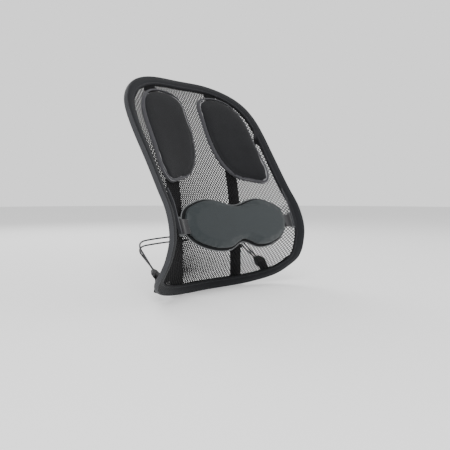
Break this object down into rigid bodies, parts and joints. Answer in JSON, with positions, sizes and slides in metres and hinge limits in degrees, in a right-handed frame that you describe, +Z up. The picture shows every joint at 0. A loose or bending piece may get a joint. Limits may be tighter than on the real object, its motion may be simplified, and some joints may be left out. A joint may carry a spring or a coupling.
{
  "type": "mesh back support",
  "caption": "Framed mesh back support with two upper pads, a height-adjustable lumbar pad on slider clips, and elastic cords that strap it to a chair's backrest.",
  "frame": {"origin": "middle of the band's lowest edge, in the plane of the two stays' back faces, where the support rests on the backrest", "axes": "+Z up, -Y towards the sitter, +Y towards the chair's backrest, X across"},
  "size_m": [0.4536, 0.2506, 0.52],
  "materials": {
    "band_fabric": "matt woven polyester over thin padding",
    "binding_tape": "ribbed grey-black binding tape",
    "spring_steel": "oiled spring steel",
    "mesh": "open knitted polyester net",
    "webbing": "ribbed polypropylene webbing",
    "clip_plastic": "satin moulded nylon",
    "pad_fabric": "smooth stretch fabric, grey-green charcoal",
    "piping": "grey piping",
    "foam": "open-cell foam",
    "brushed_fabric": "soft brushed fabric",
    "buckle_plastic": "satin moulded nylon",
    "elastic": "braided elastic cord"
  },
  "bodies": {
    "frame": {"band_front_cover": "band_fabric", "band_back_cover": "band_fabric", "edge_binding": "binding_tape", "frame_hoop": "spring_steel", "mesh_panel": "mesh", "seam_loop": "webbing", "upper_pad_cover_left": "brushed_fabric", "upper_pad_foam_left": "foam", "upper_pad_binding_left": "binding_tape", "stay_sleeve_left": "band_fabric", "stay_left": "spring_steel", "side_wing_left": "band_fabric", "anchor_webbing_left": "webbing", "rear_buckle_left": "buckle_plastic", "upper_pad_cover_right": "brushed_fabric", "upper_pad_foam_right": "foam", "upper_pad_binding_right": "binding_tape", "stay_sleeve_right": "band_fabric", "stay_right": "spring_steel", "side_wing_right": "band_fabric", "anchor_webbing_right": "webbing", "rear_buckle_right": "buckle_plastic", "elastic_cord_upper": "elastic", "elastic_cord_lower": "elastic"},
    "slider_clips": {"slider_clip_left": "clip_plastic", "slider_clip_right": "clip_plastic"},
    "lumbar_pad": {"lumbar_base": "pad_fabric", "lumbar_piping": "piping", "lumbar_cover": "pad_fabric", "lumbar_foam": "foam", "pad_tab_left": "webbing", "pad_tab_right": "webbing"}
  },
  "joints": [
    {"name": "lumbar_height", "type": "slide", "parent": "frame", "child": "slider_clips", "axis": [0, 0.3518, 0.9361], "range_m": [-0.025, 0.015], "deforming": ["side_wing_left", "side_wing_right"]},
    {"name": "lumbar_tilt", "type": "hinge", "parent": "slider_clips", "child": "lumbar_pad", "pos_m": [0, -0.11475, 0.16696], "axis": [1, 0, 0], "range_deg": [-5, 5], "deforming": ["pad_tab_left", "pad_tab_right"]}
  ]
}
